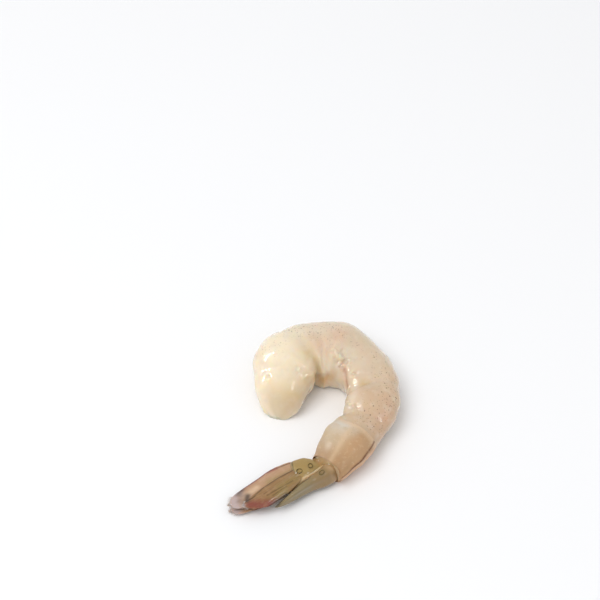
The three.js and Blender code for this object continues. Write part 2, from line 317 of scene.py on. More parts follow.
def placed(along, back, side):
    """The point, in millimetres, at a place along, towards the back and to the side."""
    heading = section_heading_at(along)
    roll = np.radians(mixed(BODY_ROLL, FAN_ROLL, smooth(along, BODY_END, BODY_END + FAN_TURN["over"])))
    outward = back * np.cos(roll) - side * np.sin(roll)
    x = np.interp(along, line_at, line_x) - outward * np.sin(heading)
    y = np.interp(along, line_at, line_y) + outward * np.cos(heading)
    z = height_at(along) + back * np.sin(roll) + side * np.cos(roll)
    return np.stack(np.broadcast_arrays(x, y, z), axis=-1)


print("fan tip at", placed(np.array(BODY_END + FAN_LENGTH), 0.0, 0.0).round(2))

# %% [markdown]
# ## The surface of the flesh
#
# Under the peeled shell each segment is a rounded block of muscle with a soft
# crease before the next one. The section is an oval, a little flattened at the
# belly, where a groove runs along the nerve cord. At the tightest part of the
# curl the belly has no room and folds. Sculpting could shape this too, but a
# formula keeps it true to the solids, and the shell can lie on the same form.

# %% The body's surface
CREASE = {"width": 1.3, "back": 0.08, "flank": 0.3}
SEGMENT_SWELL = 0.3
BELLY_GROOVE = {"depth": 0.5, "half_angle": 0.35}
SHOULDER = {"along": 10, "half_length": 3.3, "half_angle": 0.9, "height": 0.8}
BELLY_FILLS = [  # where the squeezed flesh swells out of the bend
    {"along": 23.7, "half_length": 5, "angle": 180, "half_angle": 57, "height": 2.4},
    {"along": 22.6, "half_length": 3.8, "angle": 108, "half_angle": 40, "height": 2.3},
    {"along": 18.2, "half_length": 2.4, "angle": 105, "half_angle": 35, "height": 0.7},
]
BELLY_POWERS = {"back": 0.8, "side": 0.85}  # under 1: the belly's half of the section is boxier
UNEVENNESS = 0.16


def relief(along, angle):
    """How far the surface stands out at a place. The angle is from the back."""
    from_back = np.arccos(np.cos(angle))
    flank = smooth(from_back, 0.9, 2.1) - 0.6 * smooth(from_back, 2.3, 2.9)
    in_groove = bump(from_back, math.pi, BELLY_GROOVE["half_angle"]) * smooth(along, 3, 10)
    height = -BELLY_GROOVE["depth"] * in_groove
    for joint in JOINTS:
        height = height - (CREASE["back"] + CREASE["flank"] * flank) * bump(along, joint, CREASE["width"])
    segment = np.clip(np.searchsorted(segment_ends, along, side="right") - 1, 0, len(JOINTS))
    share = np.clip((along - segment_ends[segment]) / np.diff(segment_ends)[segment], 0, 1)
    on_shoulder = bump(along, SHOULDER["along"], SHOULDER["half_length"])
    height = height + SHOULDER["height"] * on_shoulder * bump(from_back, 0, SHOULDER["half_angle"])
    height = height + SEGMENT_SWELL * bump(from_back, 2.0, 0.6) * np.sin(math.pi * share) ** 2
    return height + UNEVENNESS * np.sin(0.8 * along + 2 * angle) * np.cos(0.53 * along - 3 * angle + 1)


def belly_fill(along, angle):
    """How far the flesh swells out on the inside of the curl."""
    degrees = np.degrees(np.arccos(np.cos(angle)))
    return sum(fill["height"] * bump(along, fill["along"], fill["half_length"])
               * bump(degrees, fill["angle"], fill["half_angle"]) for fill in BELLY_FILLS)


def body_point(along, angle, inset=0.0, raised=0.0):
    """A point on the outside of the body, or `inset` millimetres under it."""
    depth = depth_at(along)
    turn = np.maximum(section_heading_at(along - 0.5) - section_heading_at(along + 0.5), 0)
    belly_depth = (1 - BACK_SHARE) * depth
    squeeze = (1 + (belly_depth * turn / SQUEEZE_LIMIT) ** 4) ** -0.25
    on_back = np.cos(angle) >= 0
    belly = belly_depth * squeeze * signed_power(np.cos(angle), BELLY_POWERS["back"])
    back = np.where(on_back, BACK_SHARE * depth * np.cos(angle), belly)
    side = 0.5 * WIDTH_OVER_DEPTH * depth * np.where(
        on_back, np.sin(angle), signed_power(np.sin(angle), BELLY_POWERS["side"]))
    radius = np.hypot(back, side)
    full_size = smooth(depth, 2, 9)
    crowding = np.clip(1 + turn * back, 0, 1)  # relief fades where the surface is pushed together
    swell = belly_fill(along, angle) * squeeze**3
    out = ((relief(along, angle) * full_size + raised) * crowding + swell - inset) / np.maximum(radius, 1)
    point = placed(along, back * (1 + out), side * (1 + out))
    point[..., 2] = np.maximum(point[..., 2], inset)
    return point


mid_body = np.array(BODY_END / 2)
print("back at mid body:", body_point(mid_body, np.array(0.0)).round(2))

# %% [markdown]
# ## From rows of points to closed meshes
#
# Flesh, sleeve, spike and bases are all lofts: rings of points, one after the
# other, joined by quads. A sleeve joins its last ring to its first, so it is a
# wall with an inside and an outside. A closed form gets a fan of triangles at
# each end. Masks, such as where the skin is amber, are kept on the points as
# attributes, which a material and a Geometry Nodes tree can both read.

# %% Meshes from rows of points
def marked(mesh, masks):
    """Keeps each mask on the points of a mesh, as a float attribute of that name."""
    for name, values in masks.items():
        attribute = mesh.attributes.new(name, "FLOAT", "POINT")
        attribute.data.foreach_set("value", np.ravel(values).astype(np.float32))


def new_piece(name, points, faces, material, masks):
    """A smooth mesh object from points in millimetres."""
    mesh = bpy.data.meshes.new(name)
    mesh.from_pydata((points * MM).tolist(), [], faces)
    mesh.polygons.foreach_set("use_smooth", [True] * len(mesh.polygons))
    marked(mesh, masks)
    mesh.materials.append(material)
    return outward(shown(name, mesh))


def outward(piece):
    """Turns a closed mesh right side out if its volume comes out negative."""
    mesh = piece.data
    mesh.calc_loop_triangles()
    corners = np.empty(len(mesh.loop_triangles) * 3, np.int32)
    mesh.loop_triangles.foreach_get("vertices", corners)
    place = np.empty(len(mesh.vertices) * 3)
    mesh.vertices.foreach_get("co", place)
    a, b, c = place.reshape(-1, 3)[corners.reshape(-1, 3)].transpose(1, 0, 2)
    if np.einsum("ij,ij->i", a, np.cross(b, c)).sum() < 0:
        mesh.flip_normals()
    return piece


def ring_faces(rows, columns, joined=False):
    """Quads between rows of points that each close into a ring. `joined` ties the last row to the first."""
    row, column = np.meshgrid(np.arange(rows if joined else rows - 1), np.arange(columns), indexing="ij")
    next_row, next_column = (row + 1) % rows, (column + 1) % columns
    corners = [row * columns + column, row * columns + next_column,
               next_row * columns + next_column, next_row * columns + column]
    return np.stack(corners, axis=-1).reshape(-1, 4).tolist()


def tube(name, points, material, masks=None):
    """A closed ring or thin-walled sleeve, whose last row of points joins its first."""
    rows, columns, _ = points.shape
    spread = {key: np.broadcast_to(mask, (rows, columns)) for key, mask in (masks or {}).items()}
    return new_piece(name, points.reshape(-1, 3), ring_faces(rows, columns, joined=True), material, spread)


def loft(name, points, material, masks=None):
    """A closed form from rings of points, whose first and last ring are drawn to their middle."""
    rows, columns, _ = points.shape
    caps = [points[0].mean(axis=0), points[-1].mean(axis=0)]
    front, rear, last = rows * columns, rows * columns + 1, (rows - 1) * columns
    faces = ring_faces(rows, columns)
    for i in range(columns):
        j = (i + 1) % columns
        faces.append((front, j, i))
        faces.append((rear, last + i, last + j))
    spread = {}
    for key, mask in (masks or {}).items():
        mask = np.broadcast_to(mask, (rows, columns))
        spread[key] = np.append(np.ravel(mask), [np.mean(mask[0]), np.mean(mask[-1])])
    return new_piece(name, np.vstack([points.reshape(-1, 3), caps]), faces, material, spread)


def hand_over(piece, node=None):
    """Ties a piece to the CAD: it rides on the body and may replace one of its solids."""
    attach(piece, "root")
    if node:
        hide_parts(node)
    print(piece.name, "faces:", len(piece.data.polygons))


# %% [markdown]
# Stains, folds and lumps are all strokes of a soft brush: a short path, a width
# and a strength. They could be painted by hand in Texture Paint, but a stroke
# given in millimetres can be read, moved and measured.

# %% Strokes
def near(points, path, width):
    """1 on a path of straight stretches, and softly down to 0 at twice the width from it."""
    best = np.full(points.shape[:-1], np.inf)
    for start, end in zip(path, path[1:]):
        start, stretch = np.asarray(start, float), np.subtract(end, start)
        t = np.clip((points - start) @ stretch / max(stretch @ stretch, 1e-9), 0, 1)
        best = np.minimum(best, np.linalg.norm(points - start - t[..., None] * stretch, axis=-1))
    return np.exp(-((best / width) ** 2))


def painted(points, strokes):
    """The sum of strokes, each given as path, width and strength."""
    return sum(strength * near(points, path, width) for path, width, strength in strokes)


print("half a width from a stroke:", near(np.array([0.0, 0.5]), [(-1, 0), (1, 0)], 1.0).round(2))

# %% [markdown]
# ## Wet tissue
#
# Raw shrimp muscle is a cloudy gel: light goes a few millimetres in, is
# scattered between the fibres and comes out cream, and a film of water and
# slime on it mirrors the window sharply. Subsurface scattering makes the depth,
# and a thin clear coat of water, IOR 1.33, makes the film. Glass with a volume
# in it would do the same and take far longer to render. Every material of the
# shrimp starts from this one. The thin shells get a far smaller depth than the
# flesh, a few tenths of a millimetre, because there is little of them.

# %% What lies over a colour
def stained(tree, colour, stains):
    """Lays stains over a colour. Each is (attribute or socket, hex colour, strength)."""
    for mask, tint, strength in stains:
        if isinstance(mask, str):
            mask = add_node(tree, "ShaderNodeAttribute", attribute_name=mask).outputs["Fac"]
        share = add_node(tree, "ShaderNodeMath", {0: mask, 1: strength}, operation="MULTIPLY", use_clamp=True)
        colour = add_node(tree, "ShaderNodeMix", {0: share.outputs[0], 6: colour, 7: srgb(tint)},
                          data_type="RGBA").outputs[2]
    return colour


def mottled(tree, colour, size_mm, tint, low, high, strength):
    """Clouds of another tint, of the given size. Noise under `low` is bare, over `high` it is full."""
    place = add_node(tree, "ShaderNodeTexCoord").outputs["Object"]
    cloud = add_node(tree, "ShaderNodeTexNoise", {"Vector": place, "Scale": 1 / (size_mm * MM), "Detail": 3})
    mask = add_node(tree, "ShaderNodeMapRange", {0: cloud.outputs[0], 1: low, 2: high})
    return stained(tree, colour, [(mask.outputs[0], tint, strength)])


def dotted(tree, colour, mask, spacing_mm, dot_mm, tint, strength, kept):
    """Round pigment cells, in patches: one in each Voronoi cell that the random pick keeps."""
    place = add_node(tree, "ShaderNodeTexCoord").outputs["Object"]
    cells = add_node(tree, "ShaderNodeTexVoronoi", {"Vector": place, "Scale": 1 / (spacing_mm * MM)})
    radius = dot_mm / spacing_mm
    dot = add_node(tree, "ShaderNodeMapRange",
                   {0: cells.outputs["Distance"], 1: radius * 1.5, 2: radius * 0.5})
    cloud = add_node(tree, "ShaderNodeTexNoise",
                     {"Vector": place, "Scale": 0.35 / (spacing_mm * MM), "Detail": 1})
    patch = add_node(tree, "ShaderNodeMapRange", {0: cloud.outputs[0], 1: 0.4, 2: 0.55})
    number = add_node(tree, "ShaderNodeSeparateColor", {0: cells.outputs["Color"]})
    pick = add_node(tree, "ShaderNodeMath", {0: number.outputs[0], 1: kept}, operation="LESS_THAN")
    zones = [patch.outputs[0], pick.outputs[0]]
    if mask:
        zones.append(add_node(tree, "ShaderNodeAttribute", attribute_name=mask).outputs["Fac"])
    share = dot.outputs[0]
    for zone in zones:
        share = add_node(tree, "ShaderNodeMath", {0: share, 1: zone}, operation="MULTIPLY").outputs[0]
    return stained(tree, colour, [(share, tint, strength)])


def rippled(tree, shader, layers):
    """Fine relief from noise, in the skin and in its wet film. Each layer is (size, height) in mm."""
    place = add_node(tree, "ShaderNodeTexCoord").outputs["Object"]
    under = {}
    for size_mm, height_mm in layers:
        noise = add_node(tree, "ShaderNodeTexNoise",
                         {"Vector": place, "Scale": 1 / (size_mm * MM), "Detail": 2})
        bumped = add_node(tree, "ShaderNodeBump", {
            "Height": noise.outputs[0], "Distance": height_mm * MM, "Strength": 1.0, **under})
        under = {"Normal": bumped.outputs[0]}
    for socket in ("Normal", "Coat Normal"):
        tree.links.new(under["Normal"], shader.inputs[socket])


# %% A wet tissue
def wet_tissue(name, base, stains=(), clouds=(), dots=(), glaze=(), ripples=(), **finish):
    """A wet material: a base colour, stains from masks, clouds, pigment dots and a last glaze of stains.

    The finish gives how deep the light goes (depth_mm), how much of it (scatter), and how rough
    the tissue and how full its coat of water is.
    """
    made = bpy.data.materials.new(name)
    made.use_nodes = True
    tree = made.node_tree
    shader = tree.nodes["Principled BSDF"]
    for key, value in {
        "IOR": 1.37,  # wet tissue
        "Roughness": finish["roughness"],
        "Subsurface Weight": finish["scatter"],
        "Subsurface Radius": (1.0, 0.62, 0.36),  # red light goes deepest in flesh
        "Subsurface Scale": finish["depth_mm"] * MM,
        "Coat Weight": finish["coat"],
        "Coat Roughness": 0.05,
        "Coat IOR": 1.33,  # water
    }.items():
        shader.inputs[key].default_value = value
    colour = stained(tree, srgb(base), stains)
    for cloud in clouds:
        colour = mottled(tree, colour, *cloud)
    for dot in dots:
        colour = dotted(tree, colour, *dot)
    colour = stained(tree, colour, glaze)
    tree.links.new(colour, shader.inputs["Base Color"])
    if ripples:
        rippled(tree, shader, ripples)
    print(name, "nodes:", len(tree.nodes))
    return made


# %% [markdown]
# The flesh's colour is not even: it is milky in places, amber where the blood
# and the gut were, pinkish brown in the folds, and tanner towards the tail.
# Light and shade are painted on it as well: painted light on the back and the
# inner side of the front segments, a painted highlight on a lobe at the tightest
# bend, painted shade in the pocket under the belly's fold, and painted shade on
# the flank of the rear limb that faces the light.
# Brown pigment cells that came off the shell show as dots. Real ones are about a
# tenth of a millimetre wide. These are two to three times as wide, because
# finer ones would not show.

# %% Raw flesh
flesh = wet_tissue(
    "raw_shrimp_flesh", "dfcdb2", depth_mm=3.2, scatter=0.75, roughness=0.36, coat=0.9,
    stains=[
        # painted light: the front segments made lighter where light falls on them and comes through the flesh
        ("painted_light", "f0e2c8", 0.9),
        # tanner towards the tail, and painted shade: a darker tan on the rear limb's flank that faces the
        # light
        ("tail_tan_and_flank_shade", "c8a98a", 1.0),
        # milky tone in places, and a painted highlight: a white spot on the lobe at the tightest bend
        ("milky_and_painted_highlight", "ece3d2", 0.9),
        ("amber", "cbae78", 0.9),
        # painted shade: darker amber in the pocket under the belly's fold and along the belly by the board
        ("painted_shade_under_fold", "cfa468", 1.0),
        ("rosy", "d3a890", 0.9),
        ("brown", "a9785c", 0.9),
        ("torn", "f3e4bf", 0.9),
    ],
    clouds=[(4.5, "cfbda0", 0.5, 0.75, 0.45), (2.2, "ebe1d2", 0.5, 0.8, 0.3)],
    dots=[("specks", 0.8, 0.17, "6c4336", 0.8, 0.5), ("specks", 0.5, 0.11, "7a5044", 0.8, 0.55)],
    ripples=[(1.6, 0.03), (0.45, 0.008)],
)

# %% [markdown]
# ## Trees of Geometry Nodes
#
# Wrinkles, blades and bristles follow rules, so Geometry Nodes make them. Each
# tree is built here with its sizes as named inputs. A bare host object carries
# it for a moment, its evaluated mesh is taken, and the host is removed, so the
# finished piece has no modifier left.

# %% What a tree of nodes makes
def grown(tree, sizes, base=None):
    """The plain mesh that a tree makes with these sizes, on a base mesh if it needs one."""
    host = shown("host", base or bpy.data.meshes.new("host"))
    modifier = host.modifiers.new("tree", "NODES")
    modifier.node_group = tree
    for item in tree.interface.items_tree:
        if item.item_type == "SOCKET" and item.in_out == "INPUT" and item.name in sizes:
            modifier[item.identifier] = sizes[item.name]
    evaluated = host.evaluated_get(bpy.context.evaluated_depsgraph_get())
    mesh = bpy.data.meshes.new_from_object(evaluated)
    bpy.data.objects.remove(host)
    return mesh


def new_tree(name, sizes, takes_mesh=True):
    """An empty Geometry Nodes tree with these sizes and a material as its inputs."""
    tree = bpy.data.node_groups.new(name, "GeometryNodeTree")
    if takes_mesh:
        tree.interface.new_socket(name="Geometry", in_out="INPUT", socket_type="NodeSocketGeometry")
    for size in sizes:
        tree.interface.new_socket(name=size, in_out="INPUT", socket_type="NodeSocketFloat")
    tree.interface.new_socket(name="Material", in_out="INPUT", socket_type="NodeSocketMaterial")
    tree.interface.new_socket(name="Geometry", in_out="OUTPUT", socket_type="NodeSocketGeometry")
    return tree, add_node(tree, "NodeGroupInput")


def dress(tree, geometry, given):
    """Ends a tree: instances become real faces and take the material."""
    whole = add_node(tree, "GeometryNodeRealizeInstances", {"Geometry": geometry})
    dressed = add_node(tree, "GeometryNodeSetMaterial",
                       {"Geometry": whole.outputs[0], "Material": given.outputs["Material"]})
    add_node(tree, "NodeGroupOutput", {0: dressed.outputs[0]})


# %% [markdown]
# Slack wet skin is crinkled along the belly and at the cut end, and the crinkles
# mirror the window in small glints. Each could be modelled, but noise makes them
# all at once. The tree pushes the surface along its normals: by small steep
# wrinkles where the skin is marked as wrinkled, and by broad low lumps wherever
# no shell lies on it.

# %% Wrinkles
def wrinkle_tree():
    """Moves a surface along its normals: wrinkles where it is `wrinkled`, soft lumps where it is `free`."""
    sizes = ["Wrinkle Size", "Wrinkle Height", "Lump Size", "Lump Height", "Seed"]
    tree, given = new_tree("wet_wrinkles", sizes)
    place = add_node(tree, "GeometryNodeInputPosition").outputs[0]
    pushes = []
    for kind, mask in (("Wrinkle", "wrinkled"), ("Lump", "free")):
        size, height = given.outputs[f"{kind} Size"], given.outputs[f"{kind} Height"]
        scale = add_node(tree, "ShaderNodeMath", {0: 1 / MM, 1: size}, operation="DIVIDE")
        noise = add_node(tree, "ShaderNodeTexNoise", {
            "Vector": place, "W": given.outputs["Seed"], "Scale": scale.outputs[0], "Detail": 1.0},
            noise_dimensions="4D")
        wave = add_node(tree, "ShaderNodeMath", {0: noise.outputs[0], 1: 0.5}, operation="SUBTRACT")
        zone = add_node(tree, "GeometryNodeInputNamedAttribute", {"Name": mask}, data_type="FLOAT")
        held = add_node(tree, "ShaderNodeMath", {0: wave.outputs[0], 1: zone.outputs[0]},
                        operation="MULTIPLY")
        pushes.append(add_node(tree, "ShaderNodeMath", {0: held.outputs[0], 1: height}, operation="MULTIPLY"))
    total = add_node(tree, "ShaderNodeMath", {0: pushes[0].outputs[0], 1: pushes[1].outputs[0]},
                     operation="ADD")
    metres = add_node(tree, "ShaderNodeMath", {0: total.outputs[0], 1: 2 * MM}, operation="MULTIPLY")
    normal = add_node(tree, "GeometryNodeInputNormal").outputs[0]
    offset = add_node(tree, "ShaderNodeVectorMath", {0: normal, "Scale": metres.outputs[0]},
                      operation="SCALE")
    moved = add_node(tree, "GeometryNodeSetPosition",
                     {"Geometry": given.outputs["Geometry"], "Offset": offset.outputs[0]})
    dress(tree, moved.outputs[0], given)
    return tree


WRINKLES = {"Wrinkle Size": 1.5, "Wrinkle Height": 1.1, "Lump Size": 3.2, "Lump Height": 0.12, "Seed": 3.0}
print("wrinkles and lumps, in millimetres:", WRINKLES)

# %% [markdown]
# ## The flesh
#
# Folds, lumps and stains are given by how far along the body they are and by
# how many degrees from the back, because that is how a cook would point at
# them. The folds and lumps move the surface by a few tenths of a millimetre,
# and the stains only colour it.

# %% Places on the flesh: (millimetres along, degrees from the back)
ARC = 0.14  # millimetres for each degree round the body
TORN_SKIN = [(0.7, -15), (0.6, -50), (0.4, -90), (0.4, -125)]  # at the cut

FOLDS = [  # path, width, depth
    ([(4.7, 18), (6.8, 36), (8.5, 66)], 0.8, 0.14),
    ([(11.3, 67), (8.9, 77), (5.8, 89)], 0.9, 0.12),
    ([(34.3, 116), (38.5, 128), (42.6, 145)], 0.8, 0.32),
    ([(41.4, 170), (46.5, 135), (47.3, 110), (45.8, 91), (45, 19)], 0.5, 0.12),
    ([(54.5, 136), (54.6, 105), (55.3, 74), (55, 36), (55.3, 10)], 0.4, 0.12),
]
POCKETS = [([(14, 163), (21, 166), (31, 160)], 1.7, 0.6)]  # under the fold of the belly
LUMPS = [  # path, width, height
    (TORN_SKIN, 0.4, 0.3),
    ([(8.4, 118), (11, 134), (20.2, 153), (30.7, 141)], 0.55, 0.3),  # the edge of the belly's fold
    ([(33.9, 122), (34.2, 121)], 1.3, 0.7),
    ([(29.8, 101), (32.1, 102)], 0.9, 0.25),
]
CRINKLES = [  # path, width, strength
    ([(29.8, 101), (32.1, 102), (35.2, 103)], 1.7, 1.0), ([(33.5, 112), (35, 116)], 1.4, 1.0),
    ([(40.4, 106), (41, 106)], 1.2, 1.0), ([(44.1, 147), (44.6, 140)], 1.2, 1.0),
    ([(0.7, -15), (0.6, -50), (0.4, -90)], 0.7, 1.0), ([(52.5, 128), (54.6, 105)], 1.3, 1.0),
    ([(9.2, 101), (9.3, 101)], 0.7, 1.0), ([(5.2, 49), (5.3, 49)], 0.8, 1.0),
]
STAINS = {
    # painted light: lighter on the back and the inner side of the front segments, where light falls on and
    # through the flesh
    "painted_light": [([(2, 20), (12, 40)], 7.0, 0.9), ([(10, 60), (16, 45)], 5.0, 0.5),
               ([(3, 85), (8, 118)], 4.0, 0.6)],
    "amber": [([(17.1, 108), (19.4, 143)], 2.6, 0.7), ([(45.4, 95), (45.6, 95)], 1.6, 0.5),
              ([(1.5, 60), (1.8, 120)], 3.0, 0.4), ([(4, 110), (8, 130)], 3.4, 0.3)],
    # painted shade: the pocket under the fold and the belly by the board, darker amber
    "painted_shade_under_fold": [([(13, 154), (20.4, 168), (27, 166), (32, 157)], 1.9, 0.5), ([(9, 128), (12, 145)], 2.0, 0.3),
               ([(12, 165), (20, 184), (31, 180)], 2.4, 0.35)],
    # a milky tone, and at (33.9, 122) a painted highlight: the white spot on the lobe at the bend
    "milky_and_painted_highlight": [([(33.9, 122), (34.0, 122)], 1.3, 0.9), ([(30, 80), (36, 86), (44, 80)], 3.2, 0.3),
             ([(47, 118), (53, 118)], 2.4, 0.45)],
    "rosy": [([(28.3, 68), (28.6, 72)], 2.2, 0.6), ([(34.3, 116), (38.5, 128), (42.6, 145)], 1.4, 0.7),
             ([(22, 90), (26, 100)], 2.5, 0.4), ([(50, 35), (54, 30)], 2.5, 0.4)],
    "brown": [([(36, 120), (38.5, 128), (42.6, 145)], 0.6, 0.45), ([(47.3, 110), (45.8, 91)], 0.35, 0.2)],
    "torn": [(TORN_SKIN, 0.9, 0.8)],
    "specks": [([(14, 35), (23, 55)], 4.0, 0.9), ([(23.3, 75), (28, 62)], 3.2, 0.8),
               ([(32.5, 62), (33.3, 52)], 1.8, 0.9), ([(37.4, 69), (37.6, 62)], 1.6, 0.9),
               ([(40, 40), (46.8, 55)], 3.6, 1.0), ([(48, 30), (54, 62)], 4.0, 1.0),
               ([(56.2, 66), (56.2, 10)], 2.2, 1.0)],
}
# painted shade: the flank of the rear limb that faces the light is painted darker
PAINTED_FLANK_SHADE = [([(31, 72), (40, 82), (47, 85)], 3.5, 0.4)]


def arc_place(along, angle):
    """Places on the body as flat millimetre pairs, with the upper side positive."""
    degrees = (np.degrees(angle) + 150) % 360 - 150
    return np.stack(np.broadcast_arrays(along, degrees * ARC), axis=-1)


def on_body(points, strokes):
    """The sum of strokes whose paths are given in millimetres along and degrees from the back."""
    return painted(points, [([(along, degrees * ARC) for along, degrees in path], width, strength)
                            for path, width, strength in strokes])


print("strokes:", sum(len(strokes) for strokes in (FOLDS, POCKETS, LUMPS, CRINKLES, *STAINS.values())))

# %% [markdown]
# The flesh is one fine mesh, a ring of points every 0.15 mm. The points of a
# ring stand closer on the side that faces up, where folds and wrinkles are
# looked at. Under the sleeve the flesh is tucked in, so the shell can cling to
# it.

# %% Flesh
UNDER_SHELL = 0.22  # how deep the flesh lies under the outside of the clinging shell
SHELL_SETBACK = 3.6  # how far the shell's front rim is rounded back at the belly
FLESH_STOPS_SHORT = 1.1  # of the sleeve's rear end
CUT_ROWS = [0.0, 0.03, 0.08, 0.16, 0.27, 0.42, 0.6]  # close rings round the edge of the cut
BODY_ROWS, COLUMNS = 470, 170
CLOSER = {"angle": math.radians(80), "share": 0.42}  # where in a ring points stand closer
POINT_SIZE = 0.02  # of a ring that is drawn together to close an end


def front_rim_at(angle):
    """Where the front rim of the shell lies, which is rounded out at the belly."""
    return SHELL_START + SHELL_SETBACK * smooth(np.arccos(-np.cos(angle)), 0.3, 1.5)


flesh_end = BODY_END - FLESH_STOPS_SHORT
rows = np.concatenate([CUT_ROWS, np.linspace(0.8, flesh_end - 0.3, BODY_ROWS), [flesh_end - 0.1, flesh_end]])
rows = rows[:, None]
turns = np.linspace(0, 2 * math.pi, COLUMNS, endpoint=False)
columns = (turns - CLOSER["share"] * np.sin(turns - CLOSER["angle"]))[None, :]
tuck = smooth(rows, front_rim_at(columns) - 0.5, front_rim_at(columns) + 0.5)

flat = arc_place(rows, columns)
masks = {name: np.clip(on_body(flat, strokes), 0, 1) for name, strokes in STAINS.items()}
# tanner towards the tail and on the back, plus painted shade on the flank that faces the light
tan_back = smooth(rows, 24, 66) * (0.5 + 0.5 * np.cos(columns)) * 0.6
masks["tail_tan_and_flank_shade"] = tan_back + smooth(rows, 26, 58) * 0.4 + on_body(flat, PAINTED_FLANK_SHADE)
masks["wrinkled"] = np.clip(on_body(flat, CRINKLES), 0, 1)
masks["free"] = 1 - tuck

raised = (on_body(flat, LUMPS) - on_body(flat, FOLDS)) * (1 - tuck)
inset = UNDER_SHELL * tuck + on_body(flat, POCKETS)
inset = inset + np.where(rows > flesh_end - 0.05, 0.8, 0)  # the last ring is the edge of a blunt end
centre = placed(rows, 0.0, 0.0)
size = np.where((rows < 0.01) | (rows >= flesh_end), POINT_SIZE, 1.0)
rings = centre + (body_point(rows, columns, inset, raised) - centre) * size[..., None]
smooth_flesh = loft("smooth_flesh", rings, flesh, masks)
flesh_mesh = grown(wrinkle_tree(), {**WRINKLES, "Material": flesh}, smooth_flesh.data)
bpy.data.objects.remove(smooth_flesh)

place = np.empty(len(flesh_mesh.vertices) * 3)
flesh_mesh.vertices.foreach_get("co", place)
place[2::3] = np.maximum(place[2::3], 0)  # nothing sinks into the board
flesh_mesh.vertices.foreach_set("co", place)
hand_over(shown("flesh", flesh_mesh), "meat")

# %% [markdown]
# ## The last segment's shell
#
# The shell of a shrimp is chitin, a clear horn-like sheet about 0.1 mm thick,
# tinted by pigment cells. On the last segment it is a sleeve with a sharp keel
# down its back that ends in a short spine, and a faint rib on each flank. It
# clings to the flesh, so it is drawn as a thin closed sleeve with its colours
# in it, not as glass: the brown of the keel and the tan of the back then also
# survive the export.

# %% Chitin over flesh
chitin = wet_tissue(  # drier than the flesh: a dull horn with a weak film of water
    "tail_segment_chitin", "bd9872", depth_mm=0.15, scatter=0.3, roughness=0.45, coat=0.15,
    stains=[
        ("belly_side", "c8b498", 1.0),
        ("rear", "ab8660", 0.8),
        ("front", "d6cec2", 0.95),
        ("rim", "d8bb9a", 0.9),
        # painted light: a lighter peach on the far side past the keel, which faces away from the light
        ("painted_rim_light", "d3a884", 1.0),
        ("rib", "dfc4a0", 0.4),
        ("keel", "6b3a22", 0.95),
        ("rear_rim", "9a7450", 0.45),
    ],
    clouds=[(2.6, "c0a078", 0.48, 0.72, 0.35), (0.8, "e2cdae", 0.55, 0.8, 0.3)],
    dots=[("specks", 0.55, 0.1, "7c5138", 0.6, 0.5)],
    ripples=[(2.0, 0.05), (0.5, 0.01)],
)

# %% [markdown]
# The sleeve runs along the outside of the body, turns round its rear rim and
# comes back inside, a tenth of a millimetre deeper. `share` is how far along
# the sleeve a ring lies, from its front rim to its rear rim.

# %% Sleeve
KEEL = {"height": 0.45, "half_angle": 0.13}
REAR_SPINE = {"length": 1.3, "half_angle": 0.3}
SHELL_THICKNESS = 0.12
OUTER_ROWS, INNER_ROWS = 110, 30
EDGE = {"width": 0.006, "share": 0.4}  # how the wall's two rims are rounded
BEYOND_KEEL = 1.6  # radians from the keel: how far round its far side the painted light goes
SLEEVE_STAINS = {
    "keel": [([(60.2, 9), (63, 5), (66.5, 1.5), (72.5, 0)], 0.45, 1.0)],
    "rib": [([(61, 76), (68.4, 72), (72.4, 68)], 1.0, 1.0)],
    "specks": [([(60.7, 65), (58, 30), (57, 13)], 2.4, 1.0), ([(61, 76), (68.4, 72)], 1.6, 1.0)],
}

outer_share = np.concatenate([[0.0, 0.004, 0.012], np.linspace(0.03, 0.97, OUTER_ROWS), [0.988, 0.996, 1.0]])
inner_share = np.linspace(0.995, 0.004, INNER_ROWS)
share = np.concatenate([outer_share, inner_share])[:, None]
inside = np.repeat([0.0, 1.0], [len(outer_share), INNER_ROWS])[:, None]
from_back = np.arccos(np.cos(columns))
spine = REAR_SPINE["length"] * bump(from_back, 0, REAR_SPINE["half_angle"])
along = mixed(front_rim_at(columns), BODY_END + spine, share)
keel = KEEL["height"] * bump(from_back, 0, KEEL["half_angle"]) * smooth(share, 0.1, 0.6)
edge = EDGE["share"] * (bump(share, 0, EDGE["width"]) + bump(share, 1, EDGE["width"]))
wall = SHELL_THICKNESS * (inside + edge * (1 - inside))
flat = arc_place(along, columns)
upward = flat[..., 1]  # millimetres round the body from the keel, with the upper side positive
masks = {name: np.clip(on_body(flat, strokes), 0, 1) for name, strokes in SLEEVE_STAINS.items()}
masks |= {
    # painted light on the far side past the keel
    "painted_rim_light": smooth(-upward, 0.2, 1.5) * (from_back < BEYOND_KEEL),
    "belly_side": smooth(upward, 6.5, 14),
    "front": (1 - smooth(share, 0.1, 0.5)) * smooth(upward, 6, 13),
    "rim": 1 - smooth(share, 0.0, 0.2),
    "rear": smooth(share, 0.45, 1.0),
    "rear_rim": smooth(share, 0.972, 0.99),
}
sleeve = tube("tail_sleeve", body_point(along, columns, wall, keel * (1 - inside)), chitin, masks)
hand_over(sleeve, "last_segment_shell")

# %% [markdown]
# ## The tail fan
#
# The fan of a shrimp has a pointed middle spike, the telson, and on each side a
# stout base that carries two thin blades. Here the fan is closed: the blades
# lie on each other like the sticks of a folded fan. All of it is the same
# chitin as the sleeve, but thicker and full of pigment, so it looks like wet
# horn: olive at the root, red at the edges and clear grey at the tips.

# %% Pigmented shell of the fan
def pigmented_shell(name, base, stains, cloud):
    """Thin wet horn with its own stains, clouds and the smallest pigment dots."""
    return wet_tissue(
        name, base, stains, depth_mm=0.2, scatter=0.25, roughness=0.32, coat=0.85, clouds=[cloud],
        dots=[(None, 0.7, 0.06, "5c4026", 0.55, 0.35)], ripples=[(1.4, 0.04), (0.4, 0.012)])
